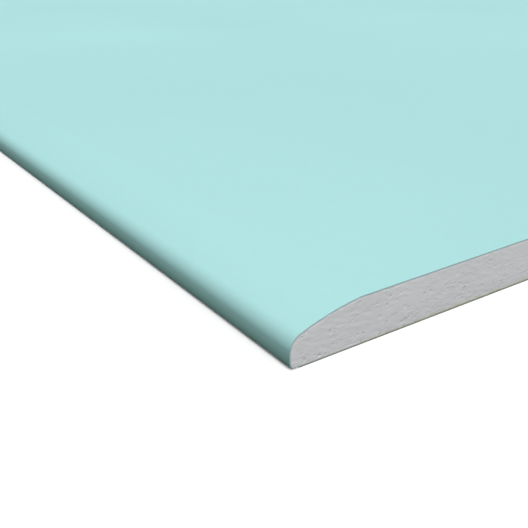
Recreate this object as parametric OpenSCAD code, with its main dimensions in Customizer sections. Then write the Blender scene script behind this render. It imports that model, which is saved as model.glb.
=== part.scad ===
// A sheet of moisture-resistant drywall that lies flat with its face up: a gypsum core between two
// papers. The face paper is wrapped round both long edges, and the back paper is glued over its flaps.
// The sheet is made as an endless ribbon and cut to length, so the core shows at its two ends.
// X runs across the width, Y along the length and Z up out of the face. The origin is at the middle of
// the back.

/* [Sheet] */
// Length of the sheet, between its two cut ends
sheet_l = 2500; // [1200:100:3600]
// Width of the sheet, across its two paper-bound edges
sheet_w = 1200; // [400:50:1300]
// Thickness of the flat of the sheet, with both papers
sheet_t = 12.5; // [10:0.5:20]

/* [Long edges] */
// Width of the tapered band, from the long edge to the flat of the face
taper_w = 21; // [14:1:28]
// How far the top of the rounded nose lies below the flat of the face
taper_depth = 3.65; // [2.7:0.05:6]
// Angle at which the taper leaves the flat of the face, in degrees
taper_angle = 6.5; // [3:0.5:9]
// Radius of the soft knee between the flat of the face and the taper
knee_r = 12; // [4:1:24]
// Radius of the half-round nose
nose_r = 4.75; // [2.5:0.25:5.5]
// Radius of the slight bow of the side, between the nose and the heel
side_r = 14; // [10:1:40]
// Radius of the corner between the long edge and the back
heel_r = 1.2; // [0.7:0.1:2]

/* [Papers] */
// Thickness of the face paper
face_paper_t = 0.35; // [0.2:0.05:0.5]
// Thickness of the back paper
back_paper_t = 0.35; // [0.2:0.05:0.5]
// How far in from the long edge the back paper starts
back_margin = 2.5; // [2:0.5:12]
// How far in from the long edge the face paper's flap reaches, under the back paper
flap_w = 20; // [14:1:40]

/* [Hidden] */

// Colours of the core and of the two papers
core_colour = "#BABBBE";
face_colour = "#B2E3E1";
back_colour = "#8C926E";

// How far the flats that a round is drawn with may lie inside it
round_error = 0.003;

// The side of the near long edge is a slight bow, widest halfway up between the centres of the heel and
// the nose. It holds both of them, and they touch it from inside.
near_edge = -sheet_w / 2;
heel_z = back_paper_t + heel_r;
nose_z = sheet_t - taper_depth - nose_r;
side_c = [near_edge + side_r, (heel_z + nose_z) / 2];
side_half_h = (nose_z - heel_z) / 2;
side_over_heel = side_r - heel_r;
side_over_nose = side_r - nose_r;
heel_angle = 180 + asin(side_half_h / side_over_heel);
nose_angle = 180 - asin(side_half_h / side_over_nose);
heel_c = [side_c.x + side_over_heel * cos(heel_angle), heel_z];
nose_c = [side_c.x + side_over_nose * cos(nose_angle), nose_z];

// The taper is a shallow bow that leaves the knee at the taper's angle and runs into the nose with no
// corner. Its centre lies on the line from the end of the knee through the knee's centre, as far beyond
// it as brings the bow to the nose: each arc holds the next one and touches it from inside.
knee_c = [near_edge + taper_w, sheet_t - knee_r];
knee_end_angle = 90 + taper_angle;
knee_end_normal = [cos(knee_end_angle), sin(knee_end_angle)];
nose_to_knee = knee_c - nose_c;
knee_over_nose = knee_r - nose_r;
bow_beyond_knee = (nose_to_knee * nose_to_knee - pow(knee_over_nose, 2))
    / (2 * (nose_to_knee * knee_end_normal + knee_over_nose));
bow_r = knee_r + bow_beyond_knee;
bow_c = knee_c - bow_beyond_knee * knee_end_normal;
bow_to_nose = nose_c - bow_c;
bow_end_angle = atan2(bow_to_nose.y, bow_to_nose.x);

// The rounds of the near long edge, from the back to the face: centre, radius, first and last angle
edge_rounds = [
    [heel_c, heel_r, 270, heel_angle],
    [side_c, side_r, heel_angle, 180],
    [side_c, side_r, 180, nose_angle],
    [nose_c, nose_r, nose_angle, bow_end_angle],
    [bow_c, bow_r, bow_end_angle, knee_end_angle],
    [knee_c, knee_r, knee_end_angle, 90],
];

// How many flats a round takes
function flats(round) = ceil(abs(round[3] - round[2]) / (2 * acos(1 - round_error / round[1])));

// Points along a round, at a depth below the outside of the face paper
function round_points(round, depth) =
    let (count = flats(round), turn = (round[3] - round[2]) / count)
    [for (i = [0 : count])
        let (angle = round[2] + i * turn)
        round[0] + (round[1] - depth) * [cos(angle), sin(angle)]];

// The wrap of the face paper round the near long edge, at a depth below its outside: from the end of
// the flap under the sheet, round the heel, the side, the nose and the taper, to the flat of the face
function near_wrap(depth) = concat(
    [[near_edge + flap_w, back_paper_t + depth]],
    [for (round = edge_rounds, point = round_points(round, depth)) point]
);

function turned_round(points) = [for (i = [len(points) - 1 : -1 : 0]) points[i]];

function far_side(points) = turned_round([for (point = points) [-point.x, point.y]]);

// A line of points over the sheet from under one long edge to under the other
function across(near) = concat(near, far_side(near));

// Draws a section out along the sheet's length
module ribbon() {
    rotate([90, 0, 0]) linear_extrude(sheet_l, center = true) children();
}

// The core fills the wrap, and comes down between the flaps to the back paper
module gypsum_core() {
    flap_end = [[near_edge + flap_w, back_paper_t]];
    color(core_colour) ribbon() polygon(across(concat(flap_end, near_wrap(face_paper_t))));
}

// One paper over the face and round both long edges, ending in a flap under the back paper
module face_paper() {
    outside = across(near_wrap(0));
    inside = across(near_wrap(face_paper_t));
    color(face_colour) ribbon() polygon(concat(outside, turned_round(inside)));
}

// A flat paper that closes the back and laps over the flaps
module back_paper() {
    color(back_colour) ribbon()
        translate([near_edge + back_margin, 0]) square([sheet_w - 2 * back_margin, back_paper_t]);
}

gypsum_core();
face_paper();
back_paper();
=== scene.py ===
# %% [markdown]
# # A sheet of drywall
#
# A drywall sheet is a gypsum core between two papers. The face paper is pale mint and goes round both
# long edges, and the back paper is olive. The CAD model holds all three at their true size, and this
# lesson gives them their looks. Lengths are in metres, so a small constant turns millimetres into them.

import bpy
import numpy as np
from mathutils import Matrix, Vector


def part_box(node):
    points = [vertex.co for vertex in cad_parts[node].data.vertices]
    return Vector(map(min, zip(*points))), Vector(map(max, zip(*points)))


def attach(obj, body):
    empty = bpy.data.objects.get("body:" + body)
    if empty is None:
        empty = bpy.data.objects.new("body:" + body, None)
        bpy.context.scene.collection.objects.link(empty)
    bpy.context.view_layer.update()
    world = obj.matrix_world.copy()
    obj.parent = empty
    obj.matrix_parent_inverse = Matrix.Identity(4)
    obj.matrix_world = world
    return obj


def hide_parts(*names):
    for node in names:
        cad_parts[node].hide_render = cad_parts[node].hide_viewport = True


MM = 0.001
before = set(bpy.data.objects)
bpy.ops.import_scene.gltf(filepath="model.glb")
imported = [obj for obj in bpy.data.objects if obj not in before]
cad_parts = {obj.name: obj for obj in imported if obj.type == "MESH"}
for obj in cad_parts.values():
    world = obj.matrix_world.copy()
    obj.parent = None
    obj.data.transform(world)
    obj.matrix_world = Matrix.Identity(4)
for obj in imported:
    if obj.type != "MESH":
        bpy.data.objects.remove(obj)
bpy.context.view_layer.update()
bpy.context.scene.view_settings.view_transform = "Standard"

# %% [markdown]
# The size of the sheet and the thicknesses of its papers are read off the CAD boxes, so that the pieces
# made here fit the frame. The core is narrower than the face paper by one paper on each side.

# %% Sizes from the frame
core_low, core_high = (np.array(corner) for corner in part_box("gypsum_core"))
face_low, face_high = (np.array(corner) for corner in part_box("face_paper"))
back_low, back_high = (np.array(corner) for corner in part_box("back_paper"))

sheet_w, sheet_l = (face_high - face_low)[:2]
sheet_t = face_high[2] - back_low[2]
half_w, half_l = sheet_w / 2, sheet_l / 2
face_t = (sheet_w - (core_high[0] - core_low[0])) / 2
back_t = back_high[2] - back_low[2]
print(f"sheet {sheet_w:.4f} x {sheet_l:.4f} x {sheet_t:.5f}, papers {face_t:.5f} and {back_t:.5f}")

# %% [markdown]
# ## The section
#
# A long edge is a chain of arcs that run into each other with no corner: the heel at the back, the
# slightly bowed side, the half-round nose, the shallow bow of the taper and the soft knee where the flat
# begins. The CAD solid draws them with flats. To shade smoothly they are worked out again here. Where two
# arcs touch from inside, their centres and the point of touch lie on one line, and that is all it takes
# to find each centre.

# %% The long edge's arcs
taper_w = 21 * MM
taper_depth = 3.65 * MM
taper_angle = np.radians(6.5)
knee_r = 12 * MM
nose_r = 4.75 * MM
side_r = 14 * MM
heel_r = 1.2 * MM
flap_w = 20 * MM


def direction(angle):
    """The unit vector (cos a, sin a) of an angle, or of each angle in an array."""
    return np.stack([np.cos(angle), np.sin(angle)], axis=-1)


heel_z, nose_z = back_t + heel_r, sheet_t - taper_depth - nose_r
side_c = np.array([side_r, (heel_z + nose_z) / 2])
heel_angle = np.pi + np.arcsin((side_c[1] - heel_z) / (side_r - heel_r))
nose_angle = np.pi - np.arcsin((nose_z - side_c[1]) / (side_r - nose_r))
heel_c = side_c + (side_r - heel_r) * direction(heel_angle)
nose_c = side_c + (side_r - nose_r) * direction(nose_angle)

knee_c = np.array([taper_w, sheet_t - knee_r])
knee_end = np.pi / 2 + taper_angle

# The bow's centre lies so far beyond the knee's that its distance from the nose's is bow_r - nose_r
apart, over = knee_c - nose_c, knee_r - nose_r
beyond = (apart @ apart - over**2) / (2 * (apart @ direction(knee_end) + over))
bow_c, bow_r = knee_c - beyond * direction(knee_end), knee_r + beyond
bow_end = np.arctan2(*(nose_c - bow_c)[::-1])
print(f"bow radius {bow_r / MM:.1f} mm, ends at {np.degrees(bow_end):.1f} degrees")

# %% [markdown]
# The near half of the outline goes from the end of the flap, round the edge, to the middle of the face.
# The far half is the same one mirrored. Each point has its normal, because the outline at any depth under
# the paper is then just the points moved back along the normals. Steps are short on the arcs, and about
# 0.6 mm on the flat, so that the cut ends of the paper can be a little ragged.

# %% The paper's outline


def arc(centre, radius, start, end, steps):
    """Points on a circle, centre + radius (cos a, sin a), and normals (cos a, sin a), without the last."""
    normal = direction(np.linspace(start, end, steps, endpoint=False))
    return centre + radius * normal, normal


def straight(start, end, normal, steps):
    """Points (1 - s) start + s end in equal steps of s, all with one normal, without the last."""
    share = np.linspace(0, 1, steps, endpoint=False)[:, None]
    return (1 - share) * np.array(start) + share * np.array(end), np.tile(normal, (steps, 1))


flap_steps, flat_step = 24, 0.6 * MM
near = [
    straight((flap_w, back_t), (heel_c[0], back_t), (0, -1), flap_steps),
    arc(heel_c, heel_r, 1.5 * np.pi, heel_angle, steps=12),
    arc(side_c, side_r, heel_angle, np.pi, steps=4),
    arc(side_c, side_r, np.pi, nose_angle, steps=4),
    arc(nose_c, nose_r, nose_angle, bow_end, steps=30),
    arc(bow_c, bow_r, bow_end, knee_end, steps=30),
    arc(knee_c, knee_r, knee_end, np.pi / 2, steps=6),
    straight((taper_w, sheet_t), (half_w, sheet_t), (0, 1), int((half_w - taper_w) / flat_step)),
]
near_points, near_normals = (np.concatenate(stretches) for stretches in zip(*near))
near_points[:, 0] -= half_w
mirror = np.array([-1, 1])
outline = np.concatenate([near_points, [[0, sheet_t]], near_points[::-1] * mirror])
outline_normals = np.concatenate([near_normals, [[0, 1]], near_normals[::-1] * mirror])


def wrap(depth):
    """The outline moved in by depth: point minus depth times normal."""
    return outline - depth * outline_normals


print("outline of", len(outline), "points")

# %% [markdown]
# ## Noise on a grid
#
# Cut gypsum and cut paper are never quite even. Blender's texture nodes can't move vertices by
# themselves, so the uneven surfaces use noise made with numpy. A seed for each use gives the same
# result in every run.

# %% Two kinds of noise
TABLE = 256


def lattice_noise(u, v, seed):
    """Random values at whole numbers of u and v, blended between them with the curve 3t^2 - 2t^3."""
    table = np.random.default_rng(seed).random((TABLE, TABLE))
    iu, iv = np.floor(u).astype(int), np.floor(v).astype(int)
    tu, tv = u - iu, v - iv
    tu, tv = tu * tu * (3 - 2 * tu), tv * tv * (3 - 2 * tv)
    left, right = iu % TABLE, (iu + 1) % TABLE
    below, above = iv % TABLE, (iv + 1) % TABLE
    low = table[left, below] * (1 - tu) + table[right, below] * tu
    high = table[left, above] * (1 - tu) + table[right, above] * tu
    return low * (1 - tv) + high * tv


def pits(u, v, seed, share):
    """Round hollows in this share of the cells of a unit grid: radius times (1 - (distance / radius)^2).

    Outside its radius a hollow counts as 0, and where two meet the deeper one counts.
    """
    smallest, spread = 0.1, 0.15
    table = np.random.default_rng(seed).random((4, TABLE, TABLE))
    iu, iv = np.floor(u).astype(int), np.floor(v).astype(int)
    deepest = np.zeros_like(u)
    for du in (-1, 0, 1):
        for dv in (-1, 0, 1):
            across, up, size, chance = table[:, (iu + du) % TABLE, (iv + dv) % TABLE]
            distance = np.hypot(iu + du + across - u, iv + dv + up - v)
            radius = smallest + spread * size**2
            hollow = np.where(chance < share, 1 - (distance / radius) ** 2, 0)
            deepest = np.maximum(deepest, hollow * radius)
    return deepest


print("noise tables of", TABLE, "by", TABLE)

# %% [markdown]
# ## Meshes from arrays
#
# Each piece is one array of points, one of quads and one of map places. A grid's quads join every point
# to its neighbours in the next row and column. The mesh gets smooth shading, and edges sharper than 35
# degrees stay sharp.
#
# The finishes below are worked out from the place in space or from an attribute, and need no map. A viewer
# on the web can't do that: it gets them baked into a square picture, which a UV map lays on the mesh. Left
# to itself, Blender would spend most of that picture on what the papers hide, so each piece brings a map
# of its own.

# %% From arrays to an object
SHARP = np.radians(35)


def cells(table):
    """The corners of each cell of a table: an entry, the next across, the one below that, the one below."""
    corners = np.stack([table[:-1, :-1], table[:-1, 1:], table[1:, 1:], table[1:, :-1]], axis=2)
    return corners.reshape(-1, 4, *table.shape[2:])


def places(u, v):
    """A table of map places with these u from left to right and these v from top to bottom."""
    return np.stack(np.meshgrid(u, v), axis=-1)


def make_piece(name, points, parts, node):
    """A mesh object that stands for a CAD node. Each part is its quads, their map places and its finish.

    The volume that is printed is a sixth of the sum of a . (b - a) x (c - a) over the triangles.
    """
    quads = np.concatenate([part[0] for part in parts])
    mapped = np.concatenate([part[1] for part in parts])
    finishes = list(dict.fromkeys(part[2] for part in parts))
    worn = np.repeat([finishes.index(part[2]) for part in parts], [len(part[0]) for part in parts])

    mesh = bpy.data.meshes.new(name)
    mesh.from_pydata(points, [], quads.tolist())
    for finish in finishes:
        mesh.materials.append(finish)
    mesh.polygons.foreach_set("material_index", worn.astype(np.int32))
    mesh.uv_layers.new(name="OFBake").uv.foreach_set("vector", mapped.astype(np.float32).ravel())
    mesh.shade_smooth()
    mesh.set_sharp_from_angle(angle=SHARP)

    piece = bpy.data.objects.new(name, mesh)
    bpy.context.scene.collection.objects.link(piece)
    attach(piece, "root")
    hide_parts(node)
    a, b, c, d = (points[quads[:, i]] for i in range(4))
    volume = (np.cross(b - a, c - a) * a + np.cross(c - a, d - a) * a).sum() / 6
    print(f"{name}: {len(points)} points, {2 * len(quads)} triangles, {volume * 1e6:.0f} ml")
    return piece


print(f"edges over {np.degrees(SHARP):.0f} degrees stay sharp")

# %% [markdown]
# ## Shader sums
#
# Node trees get long when every sum is a node added by hand. This class wraps a node's output, so that
# plain Python sums add the Math nodes, and one method adds any other node. The methods after those are
# short names for the nodes that the finishes need most.

# %% A socket that takes sums


class Wire:
    """An output socket. Sums of wires and numbers add one Math node for each sign."""

    def __init__(self, socket):
        self.socket = socket
        self.tree = socket.id_data

    def add(self, kind, settings=None, sockets=None, output=0):
        """A new node: its settings are set first, then each socket gets a value or a wire."""
        node = self.tree.nodes.new(kind)
        for name, value in (settings or {}).items():
            setattr(node, name, value)
        for key, value in (sockets or {}).items():
            if isinstance(value, Wire):
                self.tree.links.new(value.socket, node.inputs[key])
            else:
                node.inputs[key].default_value = value
        return Wire(node.outputs[output])

    def math(self, operation, a, b=0.0):
        """A Math node on one or two values."""
        return self.add("ShaderNodeMath", {"operation": operation}, {0: a, 1: b})

    def __add__(self, other):
        return self.math("ADD", self, other)

    def __sub__(self, other):
        return self.math("SUBTRACT", self, other)

    def __rsub__(self, other):
        return self.math("SUBTRACT", other, self)

    def __mul__(self, other):
        return self.math("MULTIPLY", self, other)

    __radd__, __rmul__ = __add__, __mul__

    def band(self, low, high):
        """0 below low, 1 above high and a smooth rise between; low may be the greater."""
        settings = {"interpolation_type": "SMOOTHSTEP", "clamp": True}
        return self.add("ShaderNodeMapRange", settings, {"Value": self, "From Min": low, "From Max": high})

    def stretch(self, x, y, z):
        """The same place measured in steps of these lengths along each axis."""
        return self.add("ShaderNodeMapping", {}, {"Vector": self, "Scale": (1 / x, 1 / y, 1 / z)})

    def moved(self, x, y, z):
        """The same place with this much added along each axis."""
        return self.add("ShaderNodeMapping", {}, {"Vector": self, "Location": (x, y, z)})

    def noise(self, detail):
        """Blender's noise with unit steps."""
        return self.add("ShaderNodeTexNoise", {}, {"Vector": self, "Scale": 1.0, "Detail": detail})

    def colours(self, dark, light):
        """A colour between two: dark where this is 0 and light where it is 1."""
        return self.add("ShaderNodeMix", {"data_type": "RGBA"}, {0: self, 6: dark, 7: light}, output=2)

    def bump(self, strength, depth):
        """The normal of a surface that rises by this depth where this goes from 0 to 1."""
        return self.add("ShaderNodeBump", {}, {"Strength": strength, "Distance": depth, "Height": self})


print("wires take the signs +, - and *")

# %% [markdown]
# A finish is a material with one Principled shader. What is the same all over it, its roughness and its
# gloss, is set on the shader itself. What varies comes from the place on the piece: Object coordinates,
# which are the same for every piece here because none of them is moved or turned.

# %% The start of a finish


def new_finish(name, roughness, specular):
    """A material with its Principled shader and a wire for the place on the piece."""
    finish = bpy.data.materials.new(name)
    finish.use_nodes = True
    shader = finish.node_tree.nodes["Principled BSDF"]
    shader.inputs["Roughness"].default_value = roughness
    shader.inputs["Specular IOR Level"].default_value = specular
    place = Wire(finish.node_tree.nodes.new("ShaderNodeTexCoord").outputs["Object"])
    return finish, shader, place


def put(shader, **sockets):
    """Links wires to the shader's sockets."""
    for name, wire in sockets.items():
        wire.tree.links.new(wire.socket, shader.inputs[name.replace("_", " ")])


def srgb(r, g, b):
    """A colour as a picture editor writes it, 0 to 255, as the linear light that a shader takes."""
    v = np.array([r, g, b]) / 255
    return (*np.where(v <= 0.04045, v / 12.92, ((v + 0.055) / 1.055) ** 2.4).tolist(), 1.0)


print("middle grey, 128 of 255, as light:", round(srgb(128, 128, 128)[0], 3))

# %% [markdown]
# ## The face paper's finish
#
# The face is smooth mint paper, dull and nearly even. What shows in it is very faint: clouds two hands
# wide where the pulp settled, a fine mottle, and fibres that lie along the sheet. Three noises of those
# sizes move the colour by a few parts in a hundred, and the fibres also give a bump of a few microns.

# %% Mint paper


def mint_paper():
    """Mint that varies with a sum of three noises, with the fibres as a bump."""
    finish, shader, place = new_finish("mint_paper", roughness=0.85, specular=0.05)
    clouds = place.moved(0.85, 1.18, 0).stretch(0.18, 0.25, 0.18).noise(1)
    mottle = place.stretch(2.2 * MM, 3.5 * MM, 2.2 * MM).noise(2)
    fibres = place.stretch(0.25 * MM, 1.6 * MM, 0.25 * MM).noise(1)
    tone = 0.1 + 0.55 * clouds + 0.15 * mottle + 0.15 * fibres
    dark, light = srgb(165, 214, 212), srgb(181, 231, 231)
    put(shader, Base_Color=tone.colours(dark, light), Normal=fibres.bump(0.35, 0.02 * MM))
    return finish


mint = mint_paper()
print(mint.name, "has", len(mint.node_tree.nodes), "nodes")

# %% [markdown]
# Where the sheet is cut, the paper shows its plies. Only the outermost is mint. Those below it are grey
# recycled pulp, in layers as thin as a hair. The paper turns round the edge, so no axis says how deep in
# it a point is. The mesh will carry that as an attribute, 0 on the outer side and 1 on the inner. The
# blade comes out at the back and drags gypsum over the flaps there, which is written as 1.5.

# %% Cut edge of the paper
OUTER, INNER, DUSTED = 0.0, 1.0, 1.5


def cut_paper():
    """Mint where the attribute is near 0, grey pulp up to 1, and gypsum dust towards 1.5."""
    finish, shader, place = new_finish("cut_paper", roughness=0.9, specular=0.1)
    ply = place.add("ShaderNodeAttribute", {"attribute_name": "ply"}, {}, output="Fac")
    pulp = place.stretch(0.5 * MM, 0.5 * MM, 0.12 * MM).noise(2)
    grey = pulp.colours(srgb(156, 181, 186), srgb(186, 211, 216))
    under_mint = (ply + 0.3 * pulp).band(0.25, 0.5)
    plies = under_mint.colours(srgb(164, 207, 209), grey)
    dust = ply.band(INNER + 0.1, DUSTED - 0.1)
    put(shader, Base_Color=dust.colours(plies, srgb(212, 216, 217)))
    return finish


cut_edge = cut_paper()
print(cut_edge.name, "has", len(cut_edge.node_tree.nodes), "nodes")

# %% [markdown]
# ## The gypsum's finish
#
# Gypsum is cast with foam in it, so a cut goes through many small bubbles, which lie in clusters with
# closer gypsum between them. It is nearly white, with a fine grain. Bubbles are drawn with a Voronoi
# texture: in some of its cells, a spot near the cell's point is a hollow. The texture is solid, so a cut
# anywhere goes through bubbles at random heights, as the real one does. The same texture, moved aside,
# gives crumbs that the blade left standing. The blade also drags all of them out a little along its
# stroke, and draws short ridges and scratches: a stretched noise, of which only the highs and the lows
# count, so that the gypsum between them stays smooth.

# %% Cut gypsum


def bubbles(place, wide, high, share):
    """Hollows in this share of cells of this width and height: 1 near a cell's point, 0 past the size."""
    size, core, soft = 0.42, 0.35, 0.02
    sockets = {"Vector": place.stretch(wide, wide, high), "Scale": 1.0}
    distance = place.add("ShaderNodeTexVoronoi", {}, sockets, output="Distance")
    chance = place.add("ShaderNodeTexVoronoi", {}, sockets, output="Color")
    picked = place.add("ShaderNodeSeparateColor", {}, {"Color": chance}).band(1 - share, 1 - share + soft)
    return distance.band(size, core * size) * picked


def cut_gypsum():
    """Nearly white with faint patches, and a height that sums grain, scratches, hollows and crumbs."""
    finish, shader, place = new_finish("cut_gypsum", roughness=0.95, specular=0.1)
    slope = np.radians(16)
    stroke = place.add("ShaderNodeMapping", {}, {"Vector": place, "Rotation": (0, slope, 0)})
    aside = stroke.moved(0.05, 0.03, 0.07)
    foamy = place.stretch(5 * MM, 5 * MM, 4 * MM).noise(1).band(0.46, 0.56)
    hollows = bubbles(stroke, 1.4 * MM, 1.0 * MM, 0.25) * foamy
    pinholes = bubbles(stroke, 0.8 * MM, 0.6 * MM, 0.3) * foamy
    crumbs = bubbles(aside, 0.9 * MM, 0.6 * MM, 0.25) * foamy
    worked = place.stretch(6 * MM, 6 * MM, 4 * MM).noise(1).band(0.44, 0.58)
    drawn = stroke.stretch(1.5 * MM, 1.5 * MM, 0.38 * MM).noise(1)
    scratches = (drawn.band(0.56, 0.78) - drawn.band(0.44, 0.22)) * (0.03 + 0.97 * worked)
    grain = place.stretch(0.4 * MM, 0.4 * MM, 0.4 * MM).noise(2)
    patches = place.stretch(11 * MM, 11 * MM, 6 * MM).noise(1)
    height = 0.06 * grain + 0.48 * scratches - 1.15 * hollows - 0.5 * pinholes + 0.7 * crumbs
    tone = 0.02 + 0.05 * grain + 0.5 * patches
    dark, light = srgb(225, 224, 228), srgb(244, 242, 246)
    put(shader, Base_Color=tone.colours(dark, light), Normal=height.bump(1.0, 0.11 * MM))
    return finish


gypsum = cut_gypsum()
print(gypsum.name, "has", len(gypsum.node_tree.nodes), "nodes")

# %% [markdown]
# ## The back paper's finish
#
# The back is a plainer olive paper of recycled pulp, with short darker and paler fibres in it. At the
# sheet's two ends it is cut. There the upper plies are grey, and the lowest ply is a dark olive, darker
# than
# the paper: painted shade for the contact shadow along the foot of the cut end. The place along the sheet
# tells the cut edge, and the height over the floor tells the ply.

# %% Olive paper


def olive_paper():
    """Olive from three noises; at the cut, grey plies over a darker lowest ply, which is painted shade."""
    finish, shader, place = new_finish("olive_paper", roughness=0.85, specular=0.15)
    clouds = place.stretch(0.09, 0.14, 0.09).noise(1)
    mottle = place.stretch(3 * MM, 4 * MM, 3 * MM).noise(2)
    flecks = place.stretch(0.5 * MM, 2.2 * MM, 0.5 * MM).noise(2)
    tone = 0.4 * clouds + 0.35 * mottle + 0.25 * flecks
    surface = tone.colours(srgb(128, 133, 98), srgb(150, 157, 121))
    along = place.add("ShaderNodeSeparateXYZ", {}, {"Vector": place}, output="Y")
    height = place.add("ShaderNodeSeparateXYZ", {}, {"Vector": place}, output="Z")
    at_cut = along.math("ABSOLUTE", along).band(half_l - 0.05 * MM, half_l - 0.01 * MM)
    # Painted shade: the lowest ply at the cut is darker than the paper, standing in for a contact shadow.
    plies = height.band(0.3 * back_t, 0.7 * back_t).colours(srgb(88, 92, 72), srgb(168, 170, 162))
    put(shader, Base_Color=at_cut.colours(surface, plies), Normal=flecks.bump(0.4, 0.03 * MM))
    return finish


olive = olive_paper()
print(olive.name, "has", len(olive.node_tree.nodes), "nodes")

# %% [markdown]
# ## The face paper
#
# The paper is a thin ribbon: its section is the outline and the same outline one paper deeper, joined at
# the ends of the flaps. Carried along the sheet, it is a closed tube. The two rings at its ends are moved
# in by a few hundredths of a millimetre at random, because a knife never leaves paper quite straight.

# %% Rings of the face paper
outside, inside = wrap(0), wrap(face_t)
# Distance along the outline from the end of the near flap, in millimetres
run_mm = np.concatenate([[0], np.cumsum(np.hypot(*np.diff(outside, axis=0).T))]) / MM


def ragged(seed):
    """How far a cut ring steps in, outside and then inside: a noise of 1.3 mm + a slow one of 7 mm."""
    fine = 0.05 * lattice_noise(run_mm / 1.3, 0 * run_mm, seed)
    slow = 0.04 * lattice_noise(run_mm / 7, 0 * run_mm, seed + 1)
    step = (fine + slow) * MM
    return np.concatenate([step, step[::-1]])


ring = np.concatenate([outside, inside[::-1]])
from_end = np.array([0, 0.6, 6]) * MM
stations = np.concatenate([from_end - half_l, [0], half_l - from_end[::-1]])
paper = np.empty((len(stations), len(ring), 3))
paper[..., [0, 2]] = ring
paper[..., 1] = stations[:, None]
paper[0, :, 1] += ragged(11)
paper[-1, :, 1] -= ragged(13)
print(f"{len(stations)} rings of {len(ring)} points, {run_mm[-1]:.1f} mm from flap to flap")

# %% [markdown]
# The tube's skin is six strips of quads: the outer and the inner side, the ends of the two flaps and the
# two cut ends. Only the outer side is mint. It gets most of the map, and the others share the rest as
# narrow columns. The attribute for the plies follows the ring, with the flaps' mark where it runs under
# the sheet.

# %% Face paper piece
paper_grid = np.arange(paper[..., 0].size).reshape(paper.shape[:2])
outer, inner = paper_grid[:, : len(outside)], paper_grid[:, : len(outside) - 1 : -1]
flap_ends = [np.stack([outer[:, -1], inner[:, -1]], axis=1), np.stack([inner[:, 0], outer[:, 0]], axis=1)]
cut_ends = [np.stack([outer[0], inner[0]], axis=1), np.stack([inner[-1], outer[-1]], axis=1)]

run_share = run_mm / run_mm[-1]
along_share = (stations + half_l) / sheet_l
outer_u, inner_u = 0.86 * run_share, 0.88 + 0.02 * run_share[::-1]
flap_u, cut_u = ([0.91, 0.92], [0.93, 0.94]), ([0.95, 0.965], [0.975, 0.99])
paper_parts = [
    (cells(outer), cells(places(outer_u, along_share)), mint),
    (cells(inner[:, ::-1]), cells(places(inner_u, along_share)), cut_edge),
    *((cells(strip), cells(places(u, along_share)), cut_edge) for strip, u in zip(flap_ends, flap_u)),
    *((cells(strip), cells(places(u, run_share)), cut_edge) for strip, u in zip(cut_ends, cut_u)),
]
face = make_piece("mint_face", paper.reshape(-1, 3), paper_parts, "face_paper")

under_sheet = outside[:, 1] < back_t + face_t / 2
outer_ply, inner_ply = np.where(under_sheet, DUSTED, OUTER), np.where(under_sheet, DUSTED, INNER)
ply_data = face.data.attributes.new("ply", "FLOAT", "POINT").data
ply_data.foreach_set("value", np.tile(np.concatenate([outer_ply, inner_ply[::-1]]), len(stations)))

# %% [markdown]
# ## The gypsum core
#
# The core shows only at the two ends, where it is cut. An end is a grid: columns across the sheet, and
# rows from the lower to the upper outline at each column. Columns are close together near the corners,
# where the outline curves, and one stands close on either side of the step at the end of each flap.

# %% Columns and rows of a cut end
core_edge = inside[: len(near_points)]
widest = core_edge[:, 0].argmin()
top_line = core_edge[widest:]
heel_line = core_edge[flap_steps : widest + 1][::-1]

round_w, round_columns = 3.6 * MM, 22
close_w, close_step = 70 * MM, 0.3 * MM
clear_of_flap, beside_flap = 0.2 * MM, 0.01 * MM
far_columns, rows = 266, 41
inward = np.concatenate([
    face_t + round_w * np.linspace(0.05, 1, round_columns, endpoint=False) ** 2,
    np.arange(face_t + round_w, flap_w - clear_of_flap, close_step),
    [flap_w - beside_flap, flap_w + beside_flap],
    np.arange(flap_w + close_step, close_w, close_step),
    np.linspace(close_w, half_w, far_columns),
])
column_x = np.concatenate([inward - half_w, (half_w - inward)[::-1][1:]])
column_in = half_w - np.abs(column_x)
top_z = np.interp(column_in - half_w, top_line[:, 0], top_line[:, 1])
low_z = np.interp(column_in - half_w, heel_line[:, 0], heel_line[:, 1])
low_z = np.where(column_in > flap_w, back_t, low_z)

row_share = np.linspace(0, 1, rows)[:, None]
end_x = np.broadcast_to(column_x, (rows, len(column_x)))
end_z = (1 - row_share) * low_z + row_share * top_z
print("cut end", end_x.shape, "top", top_z.max(), "lowest", low_z.min())

# %% [markdown]
# A depth moves each point of an end into the sheet. Most of it is noise: slow waves, marks drawn along by
# the blade, pits, and a little crumbling next to the paper. Away from the long edges, where no wrap of
# paper holds the gypsum, the cut also falls back a little towards the back of the sheet.

# %% Depth of a cut end


def cut_depth(seed):
    """Depth of the cut: what waves + marks reach past a level, + pits + crumbs + fall, in metres.

    Each is worked out in millimetres. Crumbs fade as e^(-distance to the rim / 0.25). The fall goes with
    (1 - height / 7)^2 up to a height of 7, and from 0 to its full depth between 10 and 55 from the edge.
    """
    lean_cos, lean_sin, level = 0.97, 0.24, 0.06
    fall_depth, fall_height, fall_from, fall_full = 0.2, 7, 10, 55
    x, z = end_x / MM, end_z / MM
    along, across = lean_cos * x - lean_sin * z, lean_sin * x + lean_cos * z
    waves = 0.07 * lattice_noise(x / 11, z / 6, seed)
    marks = 0.05 * lattice_noise(along / 2.4, across / 0.8, seed + 1)
    marks += 0.05 * lattice_noise(along / 1.2, across / 0.6, seed + 2)
    holes = 0.6 * pits(x / 2.6, z / 2.6, seed + 3, share=0.35)
    to_rim = np.minimum(end_z - low_z, top_z - end_z) / MM
    crumbs = 0.12 * np.exp(-to_rim / 0.25) * lattice_noise(x / 0.7, z / 0.7, seed + 4)
    strength = np.clip((column_in / MM - fall_from) / (fall_full - fall_from), 0, 1)
    fall = fall_depth * strength * np.clip(1 - z / fall_height, 0, 1) ** 2
    return (np.maximum(waves + marks - level, 0) + holes + crumbs + fall) * MM


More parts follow.
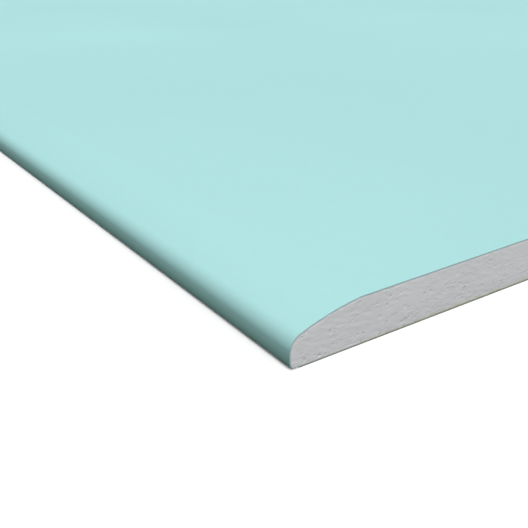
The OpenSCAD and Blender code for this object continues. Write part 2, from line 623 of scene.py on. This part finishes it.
near_depth, far_depth = cut_depth(21), cut_depth(31)
near_end = np.stack([end_x, near_depth - half_l, end_z], axis=-1)
far_end = np.stack([end_x, half_l - far_depth, end_z], axis=-1)
print(f"deepest {near_depth.max() / MM:.2f} and {far_depth.max() / MM:.2f} mm")

# %% [markdown]
# The two ends are joined by long quads from the rim of one to the rim of the other. They lie under the
# papers, so they need no detail, and a sliver of the map is enough for them. The ends get the rest: each
# is a strip about a hundred times as long as it is high, which is folded into rows to fill a square.

# %% Gypsum core piece
fold_rows = 7
side_margin, row_margin = 0.01, 0.05
ends_v, sliver_v = 0.98, [0.985, 0.995]


def folded(strip, first_row):
    """Map places of a strip, given as shares of its length and height, that is folded into rows.

    u is the length past the row's start, and v is the row's number + the height, both with a margin.
    """
    corners = cells(strip)
    row = np.floor(fold_rows * corners[..., 0].mean(axis=1, keepdims=True))
    u = side_margin + (1 - 2 * side_margin) * (fold_rows * corners[..., 0] - row)
    height = row_margin + (1 - 2 * row_margin) * corners[..., 1]
    return np.stack([u, ends_v * (first_row + row + height) / (2 * fold_rows)], axis=-1)


end_grid = np.arange(end_x.size).reshape(end_x.shape)
rim_sides = [end_grid[0, :-1], end_grid[:-1, -1], end_grid[-1, :0:-1], end_grid[:0:-1, 0]]
rim = np.concatenate([*rim_sides, end_grid[0, :1]])
end_strip = np.stack([end_x / sheet_w + 0.5, end_z / sheet_t], axis=-1)
sliver = places(np.linspace(side_margin, 1 - side_margin, len(rim)), sliver_v)
core_parts = [
    (cells(end_grid), folded(end_strip, 0), gypsum),
    (cells(end_grid + end_grid.size)[:, ::-1], folded(end_strip, fold_rows)[:, ::-1], gypsum),
    (cells(np.stack([rim + end_grid.size, rim])), cells(sliver), gypsum),
]
core_points = np.concatenate([near_end.reshape(-1, 3), far_end.reshape(-1, 3)])
make_piece("gypsum_body", core_points, core_parts, "gypsum_core")

# %% [markdown]
# The back paper is flat and square, so the CAD solid is already its shape. It only takes its finish.

# %% Back paper
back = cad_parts["back_paper"]
back.data.materials.clear()
back.data.materials.append(olive)
print("back paper takes", olive.name)

# %% [markdown]
# ## Floor
#
# The sheet lies on a plain white floor. A white floor throws light back at the edges, which would wash
# out their shade, so only the camera and reflections see it white: to other rays it is a dark green grey,
# which leaves the shade of the mint edges clear. The floor keeps the sheet's shadow.

# %% White floor


def seen_as(dim, plain):
    """One shader of two: plain to rays from the camera, off gloss and through glass, dim to all others."""
    kinds = ("Is Camera Ray", "Is Glossy Ray", "Is Transmission Ray")
    camera_ray, glossy, through = (dim.add("ShaderNodeLightPath", {}, {}, output=kind) for kind in kinds)
    seen = dim.math("MAXIMUM", dim.math("MAXIMUM", camera_ray, glossy), through)
    return dim.add("ShaderNodeMixShader", {}, {0: seen, 1: dim, 2: plain})


white, white_look, floor_place = new_finish("white_floor", roughness=1.0, specular=0.0)
white_look.inputs["Base Color"].default_value = (1, 1, 1, 1)
green_grey = floor_place.add("ShaderNodeBsdfDiffuse", {}, {"Color": (0.025, 0.055, 0.03, 1)})
floor_look = seen_as(green_grey, Wire(white_look.outputs[0]))
white.node_tree.links.new(floor_look.socket, white.node_tree.nodes["Material Output"].inputs["Surface"])

reach = 12.0
floor_corners = [(-reach, -reach, 0), (reach, -reach, 0), (reach, reach, 0), (-reach, reach, 0)]
floor_mesh = bpy.data.meshes.new("floor")
floor_mesh.from_pydata(floor_corners, [], [(0, 1, 2, 3)])
floor_mesh.materials.append(white)
floor = bpy.data.objects.new("floor", floor_mesh)
bpy.context.scene.collection.objects.link(floor)
print("floor", 2 * reach, "metres wide")

# %% [markdown]
# ## Light
#
# The world works as the floor does, white to look at and dim as a light.
#
# Three far lamps light the sheet: a soft one from above, a wide one from the front for the near end, and
# a low one from behind for the far end. The last is a fill, which adds no shadow and no gloss of its own.

# %% World and lamps
world = bpy.data.worlds.new("studio")
bpy.context.scene.world = world
world.use_nodes = True
ambient = world.node_tree.nodes["Background"]
ambient.inputs["Color"].default_value = (1, 1, 1, 1)
ambient.inputs["Strength"].default_value = 0.06
sky = Wire(ambient.outputs[0])
backdrop = sky.add("ShaderNodeBackground", {}, {"Color": (1, 1, 1, 1), "Strength": 1.0})
sky_look = seen_as(sky, backdrop)
world.node_tree.links.new(sky_look.socket, world.node_tree.nodes["World Output"].inputs["Surface"])


def turn(x_axis, y_axis, z_axis):
    """The turn that takes the X, Y and Z axes to these three."""
    return Matrix(np.stack([x_axis, y_axis, z_axis], axis=1).tolist()).to_4x4()


def add_sun(name, source, level, spread):
    """A far lamp that shines from this direction, spread over so many degrees.

    Its power is level times pi, so a white surface that faces a lamp of level 1 renders white.
    """
    lamp = bpy.data.lights.new(name, "SUN")
    lamp.energy = level * np.pi
    lamp.angle = np.radians(spread)
    sun = bpy.data.objects.new(name, lamp)
    towards = np.array(source) / np.linalg.norm(source)
    side = np.cross((0, 1, 0), towards)
    side /= np.linalg.norm(side)
    sun.matrix_world = turn(side, np.cross(towards, side), towards)
    bpy.context.scene.collection.objects.link(sun)
    return sun


add_sun("soft_top", source=(-0.19, -0.09, 1.0), level=0.573, spread=33)
add_sun("soft_front", source=(-0.08, -1.6, 1.0), level=0.59, spread=50)
fill = add_sun("low_behind", source=(0, 5.0, 1.0), level=0.45, spread=24)
fill.data.use_shadow = False
fill.visible_glossy = False

# %% [markdown]
# ## Camera
#
# The camera stands close to one corner and looks along the sheet, down at it and a little to the right.
# Its place, turn and lens were found by fitting the sheet's edges to the photograph, which is 528 pixels
# wide.

# %% Camera
near_corner = np.array([-half_w, -half_l, 0])
from_corner = np.array([-83.40, -122.89, 92.66]) * MM
yaw, pitch, roll = np.radians([32.29, 24.13, -2.04])
photo_pixels, focal_pixels = 528, 785.1

ahead = np.array([np.cos(pitch) * np.sin(yaw), np.cos(pitch) * np.cos(yaw), -np.sin(pitch)])
level_right = np.array([np.cos(yaw), -np.sin(yaw), 0])
level_up = np.cross(level_right, ahead)
right = np.cos(roll) * level_right + np.sin(roll) * level_up
up = np.cos(roll) * level_up - np.sin(roll) * level_right

lens = bpy.data.cameras.new("camera")
lens.sensor_width = 36
lens.lens = lens.sensor_width * focal_pixels / photo_pixels
lens.clip_start = 5 * MM
camera = bpy.data.objects.new("camera", lens)
camera.matrix_world = Matrix.Translation(near_corner + from_corner) @ turn(right, up, -ahead)
bpy.context.scene.collection.objects.link(camera)
bpy.context.scene.camera = camera
print("camera", tuple(round(v, 4) for v in camera.location), f"lens {lens.lens:.1f} mm")
